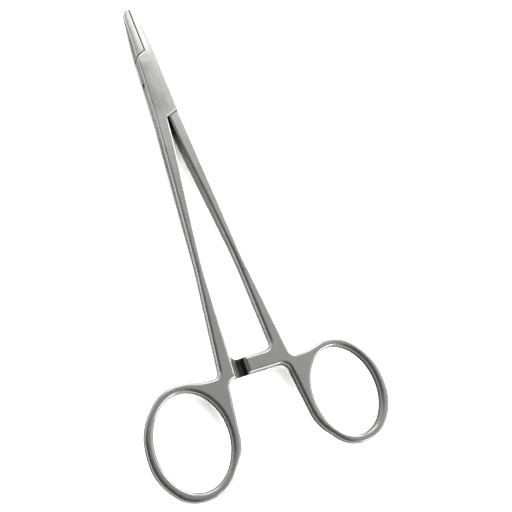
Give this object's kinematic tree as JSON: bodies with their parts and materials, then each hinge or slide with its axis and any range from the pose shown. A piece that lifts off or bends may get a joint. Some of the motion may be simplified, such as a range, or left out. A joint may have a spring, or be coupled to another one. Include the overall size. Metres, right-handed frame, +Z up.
{
  "type": "surgical needle holder",
  "caption": "Straight stainless steel needle holder with finger rings, a box lock hinge and a ratchet between the shanks; jaws closed.",
  "frame": {"origin": "where the axis of the hinge pin meets the plane of the box's underside, on which the instrument lies", "axes": "+Y towards the jaw tips, +Z up along the hinge pin, +X towards the finger ring of the half with the tongue"},
  "size_m": [0.0704, 0.1488, 0.0046],
  "materials": {
    "halves": "satin",
    "pin": "satin"
  },
  "bodies": {
    "box_body": {"box_half": "halves", "hinge_pin": "pin"},
    "tongue_body": {"tongue_half": "halves"}
  },
  "joints": [
    {"name": "box_lock", "type": "hinge", "parent": "box_body", "child": "tongue_body", "pos_m": [0, 0, 0.0023], "axis": [0, 0, 1], "range_deg": [0, 30]}
  ]
}
